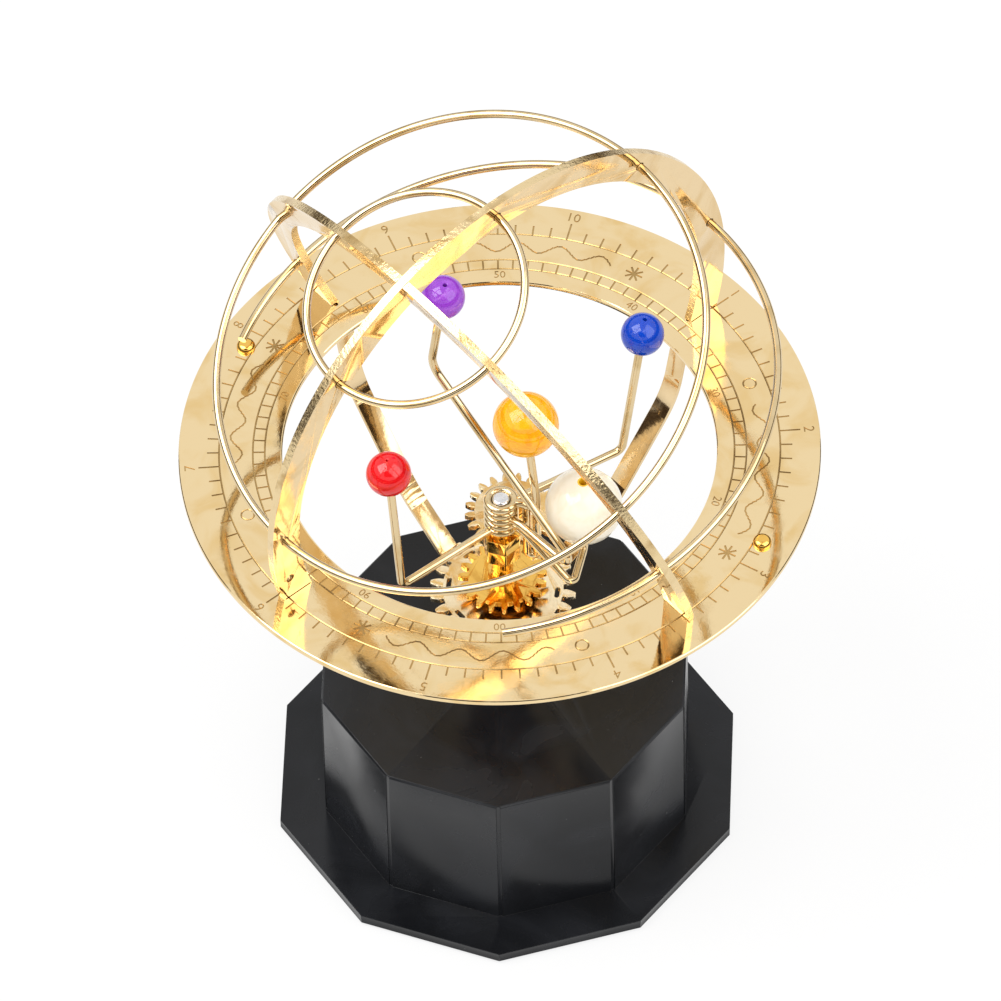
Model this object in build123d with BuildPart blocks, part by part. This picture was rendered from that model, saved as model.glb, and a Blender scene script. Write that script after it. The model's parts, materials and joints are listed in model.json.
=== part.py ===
from build123d import *
import os
from math import acos, cos, pi, radians, sin, sqrt, tan

# A table orrery in millimetres: it stands on z = 0 and its spindle is the z axis.
# Arch B lies in the XZ plane, and the foot line of arch A is the Y axis.

os.makedirs("parts", exist_ok=True)

# Clearances
RUNNING_FIT = 0.05
LOOSE_FIT = 0.15
AXIAL_GAP = 0.3
STACK_GAP = 0.05

# Base housing
SIDES = 10
BODY_RADIUS = 45.4
FLANGE_RADIUS = 56.7
FLANGE_THICKNESS = 2.6
BASE_TURN = 11
BASE_TOP = 46.0
WALL = 2.0
FOOT_HEIGHT = 0.8
FOOT_DIAMETER = 8.0
FOOT_COUNT = 5
GROOVE_WIDTH = 1.0
GROOVE_DEPTH = 0.4
COVER_THICKNESS = 2.0
COVER_SCREW_CIRCLE = 36.0
COVER_BOSS_DIAMETER = 7.0
COVER_SCREW_DIAMETER = 3.0
COVER_HEAD_DIAMETER = 5.4
COVER_HEAD_HEIGHT = 1.2
COVER_SCREW_LENGTH = 9.0

# Battery bay
CELL_DIAMETER = 14.2
CELL_LENGTH = 49.2
CELL_NUB_DIAMETER = 5.5
CELL_NUB_LENGTH = 1.2
BAY_WALL = 1.5
BAY_SPARE = 0.4
CONTACT_THICKNESS = 0.4
CONTACT_SPRING = 2.6
DOOR_THICKNESS = 1.2
DOOR_LIP = 2.5

# Geared motor
GEARBOX_DIAMETER = 34.0
GEARBOX_HEIGHT = 10.0
GEARBOX_DROP = 3.0
GEARBOX_EAR_CIRCLE = 20.5
GEARBOX_EAR_DIAMETER = 7.0
GEARBOX_EAR_THICKNESS = 2.0
MOTOR_DIAMETER = 20.0
MOTOR_HEIGHT = 8.4
COUPLING_DIAMETER = 8.0
COUPLING_HEIGHT = 7.0
COUPLING_ROOM = 1.0
MOTOR_SCREW_DIAMETER = 2.4
MOTOR_SCREW_HEAD = 4.4
MOTOR_SCREW_LENGTH = 4.5

# Switch
SWITCH_OFFSET = 31.0
SWITCH_LENGTH = 13.0
SWITCH_WIDTH = 6.5
SWITCH_HEIGHT = 6.0
KNOB_LENGTH = 3.0
KNOB_WIDTH = 2.2
KNOB_RECESS = 0.4
KNOB_DEPTH = 4.6
SWITCH_TRAVEL = 3.0

# Spindle stack, upwards
SPINDLE_DIAMETER = 5.0
PIN_DIAMETER = 4.2
SLEEVE_DIAMETER = 7.0
SLEEVE_FLANGE_DIAMETER = 13.0
SLEEVE_FLANGE_THICKNESS = 1.6
PEDESTAL_HEIGHT = 9.0
PEDESTAL_FLANGE_DIAMETER = 24.0
PEDESTAL_FLANGE_THICKNESS = 1.8
PEDESTAL_COLUMN_DIAMETER = 12.0
STRAP_NUT_FLATS = 11.0
STRAP_NUT_HEIGHT = 3.0
WHEEL_Z = 71.0
WHEEL_THICKNESS = 1.5
WHEEL_SPACER_DIAMETER = 9.0
WHEEL_COLLAR_DIAMETER = 10.0
WHEEL_COLLAR_HEIGHT = 1.2
DRIVER_Z = 75.5
DRIVER_THICKNESS = 1.5
DRIVER_BOSS_DIAMETER = 7.0
DRIVER_BOSS_HEIGHT = 3.0
HUB_NUT_Z = 85.6
HUB_NUT_FLATS = 8.0
HUB_NUT_HEIGHT = 4.1
WASHER_DIAMETER = 5.6
WASHER_HEIGHT = 2.0

# Gear train
PRESSURE_ANGLE = 20
WHEEL_TEETH = 24
PINION_TEETH = 6
DRIVER_TEETH = 19
LAYSHAFT_TEETH = 21
DRIVER_MODULE = 1.0
GEAR_BACKLASH = 0.25
LAYSHAFT_TURN = 42
WINDOW_COUNT = 8
WINDOW_CIRCLE = 12.9
WINDOW_LENGTH = 3.2
WINDOW_WIDTH = 1.1
POST_DIAMETER = 3.0
PILLAR_DIAMETER = 8.0
PINION_HUB_DIAMETER = 5.6
PINION_FACE = 2.0
POST_NUT_FLATS = 5.5
POST_NUT_HEIGHT = 2.2

# Cage
RING_TOP = 124.5
RING_THICKNESS = 1.5
RING_RADIUS = 75.0
RING_BORE = 50.7
SPHERE_LIFT = 19.0
POLE_TILT = 23.5
ARCH_OUTER = 69.4
ARCH_WIDTH = 7.9
ARCH_THICKNESS = 2.0
ARCH_A_LEAN = 18.5
ARCH_A_LIFT = 17.7
TAB_LENGTH = 7.2
TAB_DROP = 3.6
RELIEF_DIAMETER = 1.2
WIRE_DIAMETER = 2.0
SMALL_RING_RADIUS = 26.3
SMALL_RING_LIFT = 60.0
MEDIUM_RING_RADIUS = 59.5
MEDIUM_RING_LIFT = 28.0
LARGE_RING_RADIUS = 66.0
LARGE_RING_TILT = 11.5
LARGE_RING_TURN = 162
LARGE_RING_START = -22.5
LARGE_RING_SWEEP = 247
STRAP_WIDTH = 5.0
STRAP_THICKNESS = 1.0
STRAP_EYE_DIAMETER = 12.0
STRAP_FLAT = 9.0
LEG_KNEE = (19.0, 67.5)
LEG_SHIN = (34.0, 78.0)
LEG_SHOULDER = (53.0, 102.0)
LEG_TOP = 57.2
PAD_END = 69.5
RING_SCREW_CIRCLE = 67.4
RING_SCREW_TURNS = (111.1, -66.4)
RING_SCREW_DIAMETER = 2.5
RING_SCREW_HEAD = 4.4
RING_SCREW_HEAD_HEIGHT = 1.6
RING_NUT_FLATS = 5.0
RING_NUT_HEIGHT = 2.0
RING_SCREW_SPARE = 0.8

# Planet arms, from the lowest wire eye up
EYE_PITCH = 2.1
BEND_RADIUS = 2.2
HAIRPIN_RADIUS = 1.7
BEAD_HOLE_FIT = 0.05
RED_TURN = 177.5
RED_BEND = 29.8
RED_BEAD = (32.5, 140.5)
RED_BEAD_RADIUS = 5.3
WHITE_LEG_TURN = -80
ARM_FLAT = 6.5
WHITE_HAIRPIN = (21.5, 90.0)
WHITE_BEAD_TURN = -46
WHITE_BEAD = (19.5, 105.0)
WHITE_BEAD_RADIUS = 9.15
WHITE_LINING_DIAMETER = 3.4
PURPLE_TURN = -83
PURPLE_HAIRPIN = (25.0, 97.9)
PURPLE_BEND = (-21.2, 138.5)
PURPLE_BEAD = (-16.8, 166.4)
PURPLE_BEAD_RADIUS = 5.2
BLUE_TURN = -10.5
BLUE_BEND = 33.0
BLUE_BEAD = (39.0, 142.0)
BLUE_BEAD_RADIUS = 5.1
SUN_TURN = -53
SUN_DROP = 6.1
SUN_RISE = 8.5
SUN_HAIRPIN_Z = 86.9
SUN_LEAN_Z = 108.0
SUN_BEAD = (6.4, 135.0)
SUN_BEAD_RADIUS = 7.75

# Sizes worked out from the values above
FLAT_FACTOR = cos(pi / SIDES)
INNER_RADIUS = BODY_RADIUS - WALL / FLAT_FACTOR
BASE_CEILING = BASE_TOP - WALL
COVER_TOP = FOOT_HEIGHT + COVER_THICKNESS
BAY_LENGTH = CELL_LENGTH + CELL_NUB_LENGTH + 2 * (CONTACT_THICKNESS + CONTACT_SPRING)
BAY_BREADTH = 2 * (CELL_DIAMETER + BAY_SPARE)
DOOR_TOP = FOOT_HEIGHT + DOOR_THICKNESS
CELL_Z = DOOR_TOP + STACK_GAP + CELL_DIAMETER / 2
BAY_TOP = DOOR_TOP + CELL_DIAMETER + BAY_SPARE
GEARBOX_TOP = BASE_CEILING - GEARBOX_DROP
GEARBOX_BOTTOM = GEARBOX_TOP - GEARBOX_HEIGHT
COUPLING_BOTTOM = GEARBOX_TOP - COUPLING_HEIGHT - COUPLING_ROOM
SLEEVE_BOTTOM = BASE_CEILING - SLEEVE_FLANGE_THICKNESS
PEDESTAL_TOP = BASE_TOP + PEDESTAL_HEIGHT
STRAP_NUT_Z = PEDESTAL_TOP + 2 * STRAP_THICKNESS
WHEEL_SPACER_Z = STRAP_NUT_Z + STRAP_NUT_HEIGHT
WHEEL_COLLAR_Z = WHEEL_Z + WHEEL_THICKNESS + AXIAL_GAP
SLEEVE_TOP = WHEEL_COLLAR_Z + WHEEL_COLLAR_HEIGHT
HUB_NUTS_TOP = HUB_NUT_Z + 2 * HUB_NUT_HEIGHT + STACK_GAP
EYES_Z = HUB_NUTS_TOP + WASHER_HEIGHT + STACK_GAP
EYE_RADIUS = PIN_DIAMETER / 2 + RUNNING_FIT + WIRE_DIAMETER / 2
SPINDLE_TOP = EYES_Z + 4 * EYE_PITCH + WIRE_DIAMETER
CENTRE_DISTANCE = DRIVER_MODULE * (DRIVER_TEETH + LAYSHAFT_TEETH) / 2
WHEEL_MODULE = 2 * CENTRE_DISTANCE / (WHEEL_TEETH + PINION_TEETH)
PINION_TOP = DRIVER_Z + DRIVER_THICKNESS + 0.8
PILLAR_TOP = WHEEL_Z - AXIAL_GAP
POST_NUT_Z = PINION_TOP + AXIAL_GAP
RING_BOTTOM = RING_TOP - RING_THICKNESS
ARCH_INNER = ARCH_OUTER - ARCH_WIDTH
ARCH_MIDDLE = ARCH_OUTER - ARCH_WIDTH / 2
FOOT_RADIUS = (sqrt(ARCH_OUTER**2 - SPHERE_LIFT**2) + sqrt(ARCH_INNER**2 - SPHERE_LIFT**2)) / 2
SLOT_LENGTH = TAB_LENGTH + 2 * LOOSE_FIT
SLOT_WIDTH = ARCH_THICKNESS + 2 * LOOSE_FIT
CENTRE_Z = RING_TOP + SPHERE_LIFT
PAD_Z = RING_BOTTOM - STRAP_THICKNESS / 2


def vertical_plane(turn):
    """The plane through the spindle at an angle, whose x runs outwards and y upwards."""
    outwards = (cos(radians(turn)), sin(radians(turn)), 0)
    return Plane(origin=(0, 0, 0), x_dir=outwards, z_dir=(outwards[1], -outwards[0], 0))


def around(turn, radius, z):
    """A point at an angle and distance from the spindle."""
    return (radius * cos(radians(turn)), radius * sin(radians(turn)), z)


def tilted_plane(lift, tilt, turn=180):
    """A plane whose normal leans from the vertical, lifted along it from the cage centre."""
    normal = Vector(*around(turn, sin(radians(tilt)), cos(radians(tilt))))
    along = Vector(*around(turn - 90, 1, 0))
    return Plane(origin=Vector(0, 0, CENTRE_Z) + normal * lift, x_dir=along, z_dir=normal)


def tooth_outline(gear_module, teeth):
    """One involute tooth that points along x, from inside the root circle to the tip."""
    pitch = gear_module * teeth / 2
    base = pitch * cos(radians(PRESSURE_ANGLE))
    tip = pitch + gear_module
    root = pitch - 1.25 * gear_module
    spread = pi / (2 * teeth) - GEAR_BACKLASH / (4 * pitch)
    spread += tan(radians(PRESSURE_ANGLE)) - radians(PRESSURE_ANGLE)
    start = max(base, root)
    flank = []
    for step in range(5):
        radius = start + (tip - start) * step / 4
        roll = acos(min(1, base / radius))
        angle = spread - (tan(roll) - roll)
        flank.append((radius * cos(angle), radius * sin(angle)))
    first = flank[0]
    inner = (0.8 * root * first[0] / start, 0.8 * root * first[1] / start)
    with BuildSketch() as tooth:
        with BuildLine():
            Polyline(inner, first)
            Spline(*flank)
            Line(flank[-1], (flank[-1][0], -flank[-1][1]))
            Spline(*[(x, -y) for x, y in flank])
            Polyline((first[0], -first[1]), (inner[0], -inner[1]), inner)
        make_face()
    return tooth.sketch


def save(part, name):
    """Label a finished piece and write it under its own name."""
    part.label = name
    export_step(part, f"parts/{name}.step")


# Base housing

with BuildPart() as base_housing:
    with BuildSketch(Plane.XY.offset(FOOT_HEIGHT)):
        RegularPolygon(FLANGE_RADIUS, SIDES, rotation=BASE_TURN)
    extrude(amount=FLANGE_THICKNESS)
    with BuildSketch(Plane.XY.offset(FOOT_HEIGHT)):
        RegularPolygon(BODY_RADIUS, SIDES, rotation=BASE_TURN)
    extrude(amount=BASE_TOP - FOOT_HEIGHT)
    chamfer(base_housing.faces().sort_by(Axis.Z)[-1].edges(), 0.5)
    with BuildSketch(Plane.XY.offset(FOOT_HEIGHT + FLANGE_THICKNESS)):
        with PolarLocations(BODY_RADIUS, SIDES, start_angle=BASE_TURN):
            Rectangle(2 * GROOVE_DEPTH, GROOVE_WIDTH)
    extrude(amount=BASE_TOP, mode=Mode.SUBTRACT)
    with BuildSketch(Plane.XY.offset(FOOT_HEIGHT)):
        RegularPolygon(INNER_RADIUS, SIDES, rotation=BASE_TURN)
    extrude(amount=BASE_CEILING - FOOT_HEIGHT, mode=Mode.SUBTRACT)
    with BuildSketch(Plane.XY.offset(BASE_CEILING)):
        with PolarLocations(COVER_SCREW_CIRCLE, 4, start_angle=45):
            Circle(COVER_BOSS_DIAMETER / 2)
    extrude(amount=COVER_TOP - BASE_CEILING)
    with BuildSketch(Plane.XY.offset(BASE_CEILING)):
        with PolarLocations(GEARBOX_EAR_CIRCLE, 2):
            Circle(GEARBOX_EAR_DIAMETER / 2)
    extrude(amount=-GEARBOX_DROP)
    with Locations((0, 0, BASE_CEILING + WALL / 2)):
        Cylinder(SLEEVE_DIAMETER / 2, WALL, mode=Mode.SUBTRACT)
    with Locations(around(LAYSHAFT_TURN, CENTRE_DISTANCE, BASE_CEILING + WALL / 2)):
        Cylinder(POST_DIAMETER / 2, WALL, mode=Mode.SUBTRACT)
    with PolarLocations(COVER_SCREW_CIRCLE, 4, start_angle=45):
        with Locations((0, 0, FOOT_HEIGHT)):
            Cylinder(
                COVER_SCREW_DIAMETER / 2,
                COVER_SCREW_LENGTH + 1,
                align=(Align.CENTER, Align.CENTER, Align.MIN),
                mode=Mode.SUBTRACT,
            )
    with PolarLocations(GEARBOX_EAR_CIRCLE, 2):
        with Locations((0, 0, GEARBOX_TOP)):
            Cylinder(
                MOTOR_SCREW_DIAMETER / 2,
                MOTOR_SCREW_LENGTH - GEARBOX_EAR_THICKNESS,
                align=(Align.CENTER, Align.CENTER, Align.MIN),
                mode=Mode.SUBTRACT,
            )
save(base_housing.part, "base_housing")

with BuildPart() as bottom_cover:
    with BuildSketch(Plane.XY.offset(FOOT_HEIGHT)):
        RegularPolygon(INNER_RADIUS - LOOSE_FIT, SIDES, rotation=BASE_TURN)
    extrude(amount=COVER_THICKNESS)
    with BuildSketch(Plane.XY.offset(COVER_TOP)):
        Rectangle(BAY_LENGTH + 2 * BAY_WALL, BAY_BREADTH + 2 * BAY_WALL)
    extrude(amount=BAY_TOP + BAY_WALL - COVER_TOP)
    with BuildSketch(Plane.XY.offset(FOOT_HEIGHT)):
        Rectangle(BAY_LENGTH, BAY_BREADTH)
    extrude(amount=BAY_TOP - FOOT_HEIGHT, mode=Mode.SUBTRACT)
    with BuildSketch(Plane.XY.offset(FOOT_HEIGHT)):
        RectangleRounded(BAY_LENGTH + 2 * DOOR_LIP, BAY_BREADTH + 2 * DOOR_LIP, 2)
    extrude(amount=DOOR_THICKNESS, mode=Mode.SUBTRACT)
    with BuildSketch(Plane.XY.offset(FOOT_HEIGHT)):
        with PolarLocations(COVER_SCREW_CIRCLE, 4, start_angle=45):
            Circle(COVER_SCREW_DIAMETER / 2)
        with Locations((SWITCH_TRAVEL / 2, -SWITCH_OFFSET)):
            Rectangle(KNOB_LENGTH + SWITCH_TRAVEL + 2 * AXIAL_GAP, KNOB_WIDTH + 2 * AXIAL_GAP)
    extrude(amount=COVER_THICKNESS, mode=Mode.SUBTRACT)
    with BuildSketch(Plane.XY.offset(FOOT_HEIGHT)):
        with PolarLocations(COVER_SCREW_CIRCLE, 4, start_angle=45):
            Circle(COVER_HEAD_DIAMETER / 2 + LOOSE_FIT)
    extrude(amount=COVER_HEAD_HEIGHT, mode=Mode.SUBTRACT)
save(bottom_cover.part, "bottom_cover")

with BuildPart() as battery_door:
    with BuildSketch(Plane.XY.offset(FOOT_HEIGHT)):
        door_length = BAY_LENGTH + 2 * DOOR_LIP - 2 * LOOSE_FIT
        door_breadth = BAY_BREADTH + 2 * DOOR_LIP - 2 * LOOSE_FIT
        RectangleRounded(door_length, door_breadth, 2)
    extrude(amount=DOOR_THICKNESS)
    with BuildSketch(Plane.XY.offset(FOOT_HEIGHT)):
        with Locations((door_length / 2 - 6, 0)):
            with GridLocations(2.4, 0, 4, 1):
                SlotOverall(12, 1, rotation=90)
    extrude(amount=DOOR_THICKNESS / 3, mode=Mode.SUBTRACT)
save(battery_door.part, "battery_door")

with BuildPart() as battery_cells:
    for side in (-1, 1):
        start = (-side * CELL_LENGTH / 2, side * (CELL_DIAMETER + BAY_SPARE) / 2, CELL_Z)
        with BuildSketch(Plane(origin=start, x_dir=(0, 1, 0), z_dir=(side, 0, 0))):
            Circle(CELL_DIAMETER / 2)
        extrude(amount=CELL_LENGTH)
        nub = (side * CELL_LENGTH / 2, start[1], CELL_Z)
        with BuildSketch(Plane(origin=nub, x_dir=(0, 1, 0), z_dir=(side, 0, 0))):
            Circle(CELL_NUB_DIAMETER / 2)
        extrude(amount=CELL_NUB_LENGTH)
save(battery_cells.part, "battery_cells")

with BuildPart() as battery_contacts:
    for end in (-1, 1):
        for side in (-1, 1):
            cell_y = side * (CELL_DIAMETER + BAY_SPARE) / 2
            wall = (end * BAY_LENGTH / 2, cell_y, CELL_Z)
            with BuildSketch(Plane(origin=wall, x_dir=(0, 1, 0), z_dir=(-end, 0, 0))):
                Rectangle(CELL_DIAMETER - 3, CELL_DIAMETER - 3)
            extrude(amount=CONTACT_THICKNESS)
            with BuildSketch(Plane(origin=wall, x_dir=(0, 1, 0), z_dir=(-end, 0, 0))):
                Circle(CELL_NUB_DIAMETER / 2)
            reach = BAY_LENGTH / 2 - CELL_LENGTH / 2
            if side == end:
                reach -= CELL_NUB_LENGTH
            extrude(amount=reach)
save(battery_contacts.part, "battery_contacts")

with BuildPart() as gearbox_case:
    with BuildSketch(Plane.XY.offset(GEARBOX_BOTTOM)):
        Circle(GEARBOX_DIAMETER / 2)
    extrude(amount=GEARBOX_HEIGHT)
    with BuildSketch(Plane.XY.offset(GEARBOX_TOP)):
        with PolarLocations(GEARBOX_EAR_CIRCLE, 2):
            Circle(GEARBOX_EAR_DIAMETER / 2)
            with Locations((-GEARBOX_EAR_DIAMETER / 2, 0)):
                Rectangle(GEARBOX_EAR_DIAMETER, GEARBOX_EAR_DIAMETER)
    extrude(amount=-GEARBOX_EAR_THICKNESS)
    with BuildSketch(Plane.XY.offset(GEARBOX_TOP)):
        Circle(COUPLING_DIAMETER / 2 + COUPLING_ROOM)
    extrude(amount=-COUPLING_HEIGHT - 2 * COUPLING_ROOM, mode=Mode.SUBTRACT)
    with BuildSketch(Plane.XY.offset(GEARBOX_TOP)):
        with PolarLocations(GEARBOX_EAR_CIRCLE, 2):
            Circle(MOTOR_SCREW_DIAMETER / 2)
    extrude(amount=-GEARBOX_EAR_THICKNESS, mode=Mode.SUBTRACT)
save(gearbox_case.part, "gearbox_case")

with BuildPart() as motor_can:
    with BuildSketch(Plane.XY.offset(GEARBOX_BOTTOM)):
        Circle(MOTOR_DIAMETER / 2)
    extrude(amount=-MOTOR_HEIGHT)
    fillet(motor_can.edges().sort_by(Axis.Z)[0], 1)
save(motor_can.part, "motor_can")

with BuildPart() as gearbox_screws:
    ear_bottom = GEARBOX_TOP - GEARBOX_EAR_THICKNESS
    with BuildSketch(Plane.XY.offset(ear_bottom)):
        with PolarLocations(GEARBOX_EAR_CIRCLE, 2):
            Circle(MOTOR_SCREW_DIAMETER / 2)
    extrude(amount=MOTOR_SCREW_LENGTH)
    with BuildSketch(Plane.XY.offset(ear_bottom)):
        with PolarLocations(GEARBOX_EAR_CIRCLE, 2):
            Circle(MOTOR_SCREW_HEAD / 2)
    extrude(amount=-1.5)
save(gearbox_screws.part, "gearbox_screws")

with BuildPart() as switch_body:
    with BuildSketch(Plane.XY.offset(COVER_TOP)):
        with Locations((SWITCH_TRAVEL / 2, -SWITCH_OFFSET)):
            Rectangle(SWITCH_LENGTH, SWITCH_WIDTH)
    extrude(amount=SWITCH_HEIGHT)
    with BuildSketch(Plane.XY.offset(COVER_TOP)):
        with Locations((SWITCH_TRAVEL / 2, -SWITCH_OFFSET)):
            Rectangle(KNOB_LENGTH + SWITCH_TRAVEL + 2 * AXIAL_GAP, KNOB_WIDTH + 2 * AXIAL_GAP)
    extrude(amount=KNOB_DEPTH + KNOB_RECESS + AXIAL_GAP - COVER_THICKNESS, mode=Mode.SUBTRACT)
save(switch_body.part, "switch_body")

with BuildPart() as switch_knob:
    with BuildSketch(Plane.XY.offset(FOOT_HEIGHT + KNOB_RECESS)):
        with Locations((0, -SWITCH_OFFSET)):
            Rectangle(KNOB_LENGTH, KNOB_WIDTH)
    extrude(amount=KNOB_DEPTH)
    with BuildSketch(Plane.XY.offset(FOOT_HEIGHT + KNOB_RECESS)):
        with Locations((0, -SWITCH_OFFSET)):
            with GridLocations(1, 0, 3, 1):
                Rectangle(0.4, KNOB_WIDTH)
    extrude(amount=0.3, mode=Mode.SUBTRACT)
save(switch_knob.part, "switch_knob")

with BuildPart() as rubber_feet:
    with BuildSketch():
        with PolarLocations((FLANGE_RADIUS + BODY_RADIUS) / 2 * FLAT_FACTOR, FOOT_COUNT, BASE_TURN):
            Circle(FOOT_DIAMETER / 2)
    extrude(amount=FOOT_HEIGHT)
save(rubber_feet.part, "rubber_feet")

with BuildPart() as cover_screws:
    with BuildSketch(Plane.XY.offset(FOOT_HEIGHT)):
        with PolarLocations(COVER_SCREW_CIRCLE, 4, start_angle=45):
            Circle(COVER_HEAD_DIAMETER / 2)
    extrude(amount=COVER_HEAD_HEIGHT)
    with BuildSketch(Plane.XY.offset(FOOT_HEIGHT)):
        with PolarLocations(COVER_SCREW_CIRCLE, 4, start_angle=45):
            Circle(COVER_SCREW_DIAMETER / 2)
    extrude(amount=COVER_SCREW_LENGTH)
    with BuildSketch(Plane.XY.offset(FOOT_HEIGHT)):
        with PolarLocations(COVER_SCREW_CIRCLE, 4, start_angle=45):
            Rectangle(3.2, 0.7)
            Rectangle(0.7, 3.2)
    extrude(amount=COVER_HEAD_HEIGHT / 2, mode=Mode.SUBTRACT)
save(cover_screws.part, "cover_screws")

# Pedestal and the fixed sleeve of the spindle

with BuildPart() as pedestal:
    with BuildSketch(Plane.XZ) as pedestal_profile:
        with BuildLine():
            Polyline(
                (SLEEVE_DIAMETER / 2, BASE_TOP),
                (PEDESTAL_FLANGE_DIAMETER / 2, BASE_TOP),
                (PEDESTAL_FLANGE_DIAMETER / 2, BASE_TOP + PEDESTAL_FLANGE_THICKNESS),
                (PEDESTAL_COLUMN_DIAMETER / 2, BASE_TOP + PEDESTAL_FLANGE_THICKNESS),
                (PEDESTAL_COLUMN_DIAMETER / 2, PEDESTAL_TOP),
                (SLEEVE_DIAMETER / 2, PEDESTAL_TOP),
                close=True,
            )
        make_face()
    revolve(axis=Axis.Z)
    rim = pedestal.edges().filter_by(GeomType.CIRCLE)
    rim = rim.filter_by(lambda e: abs(e.radius - PEDESTAL_FLANGE_DIAMETER / 2) < 0.01)
    chamfer(rim.sort_by(Axis.Z)[-1], 0.5)
save(pedestal.part, "pedestal")

with BuildPart() as bearing_sleeve:
    with BuildSketch(Plane.XY.offset(SLEEVE_BOTTOM)):
        Circle(SLEEVE_FLANGE_DIAMETER / 2)
    extrude(amount=SLEEVE_FLANGE_THICKNESS)
    with BuildSketch(Plane.XY.offset(SLEEVE_BOTTOM)):
        Circle(SLEEVE_DIAMETER / 2)
    extrude(amount=SLEEVE_TOP - SLEEVE_BOTTOM)
    with BuildSketch(Plane.XY.offset(SLEEVE_BOTTOM)):
        Circle(SPINDLE_DIAMETER / 2 + RUNNING_FIT)
    extrude(amount=SLEEVE_TOP - SLEEVE_BOTTOM, mode=Mode.SUBTRACT)
save(bearing_sleeve.part, "bearing_sleeve")


def bent_strap(turn, centre_z):
    """One strip that lies on the pedestal and rises on both sides to a pad under the ring."""
    right = [
        (STRAP_FLAT, centre_z),
        LEG_KNEE,
        LEG_SHIN,
        LEG_SHOULDER,
        (LEG_TOP, PAD_Z),
        (PAD_END, PAD_Z),
    ]
    radii = [3, 10, 30, 25, 1]
    left = [(-rho, z) for rho, z in reversed(right)]
    plane = vertical_plane(turn)
    with BuildPart() as strap:
        with BuildLine(plane) as path:
            FilletPolyline(*left, *right, radius=radii[::-1] + radii)
        start = path.wires()[0]
        with BuildSketch(Plane(origin=start @ 0, x_dir=plane.z_dir, z_dir=start % 0)):
            Rectangle(STRAP_WIDTH, STRAP_THICKNESS)
        sweep()
        with BuildSketch(Plane.XY.offset(centre_z - STRAP_THICKNESS / 2)):
            Circle(STRAP_EYE_DIAMETER / 2)
        extrude(amount=STRAP_THICKNESS)
        with BuildSketch(Plane.XY.offset(centre_z - STRAP_THICKNESS / 2)):
            Circle(SLEEVE_DIAMETER / 2)
        extrude(amount=STRAP_THICKNESS, mode=Mode.SUBTRACT)
        with BuildSketch(Plane.XY.offset(PAD_Z)):
            with PolarLocations(FOOT_RADIUS, 2, start_angle=turn):
                Rectangle(SLOT_LENGTH, SLOT_WIDTH)
        extrude(amount=STRAP_THICKNESS, both=True, mode=Mode.SUBTRACT)
    return strap.part


save(bent_strap(0, PEDESTAL_TOP + STRAP_THICKNESS / 2), "strap_lower")
save(bent_strap(90, PEDESTAL_TOP + 3 * STRAP_THICKNESS / 2), "strap_upper")


def hex_nut(flats, height, bore, z, centre=(0, 0)):
    """A hexagon nut whose corners are turned off at both faces."""
    with BuildPart() as nut:
        with BuildSketch(Plane.XY.offset(z)):
            with Locations(centre):
                RegularPolygon(flats / 2, 6, major_radius=False)
        extrude(amount=height)
        with Locations((*centre, z + height / 2)):
            Cylinder(flats / 2 * 1.12, height, mode=Mode.INTERSECT)
        with BuildSketch(Plane.XY.offset(z)):
            with Locations(centre):
                Circle(bore / 2)
        extrude(amount=height, mode=Mode.SUBTRACT)
    return nut.part


save(hex_nut(STRAP_NUT_FLATS, STRAP_NUT_HEIGHT, SLEEVE_DIAMETER, STRAP_NUT_Z), "strap_nut")

# Spindle and what it carries

with BuildPart() as spindle:
    with BuildSketch(Plane.XY.offset(COUPLING_BOTTOM)):
        Circle(SPINDLE_DIAMETER / 2)
    extrude(amount=HUB_NUTS_TOP - COUPLING_BOTTOM)
    with BuildSketch(Plane.XY.offset(HUB_NUTS_TOP)):
        Circle(PIN_DIAMETER / 2)
    extrude(amount=SPINDLE_TOP - HUB_NUTS_TOP)
    chamfer(spindle.edges().sort_by(Axis.Z)[-1], 0.4)
save(spindle.part, "spindle")

with BuildPart() as drive_coupling:
    with BuildSketch(Plane.XY.offset(COUPLING_BOTTOM)):
        Circle(COUPLING_DIAMETER / 2)
        Circle(SPINDLE_DIAMETER / 2, mode=Mode.SUBTRACT)
    extrude(amount=COUPLING_HEIGHT)
save(drive_coupling.part, "drive_coupling")

with BuildPart() as small_gear:
    with BuildSketch(Plane.XY.offset(DRIVER_Z)):
        Circle(DRIVER_MODULE * (DRIVER_TEETH / 2 - 1.25))
        with PolarLocations(0, DRIVER_TEETH, start_angle=LAYSHAFT_TURN):
            add(tooth_outline(DRIVER_MODULE, DRIVER_TEETH))
    extrude(amount=DRIVER_THICKNESS)
    with BuildSketch(Plane.XY.offset(DRIVER_Z)):
        Circle(DRIVER_BOSS_DIAMETER / 2)
    extrude(amount=DRIVER_THICKNESS + DRIVER_BOSS_HEIGHT)
    with BuildSketch(Plane.XY.offset(DRIVER_Z)):
        Circle(SPINDLE_DIAMETER / 2)
    extrude(amount=DRIVER_THICKNESS + DRIVER_BOSS_HEIGHT, mode=Mode.SUBTRACT)
save(small_gear.part, "small_gear")

with BuildPart() as hub_nuts:
    add(hex_nut(HUB_NUT_FLATS, HUB_NUT_HEIGHT, SPINDLE_DIAMETER, HUB_NUT_Z))
    upper_nut_z = HUB_NUT_Z + HUB_NUT_HEIGHT + STACK_GAP
    add(hex_nut(HUB_NUT_FLATS, HUB_NUT_HEIGHT, SPINDLE_DIAMETER, upper_nut_z))
save(hub_nuts.part, "hub_nuts")

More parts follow.
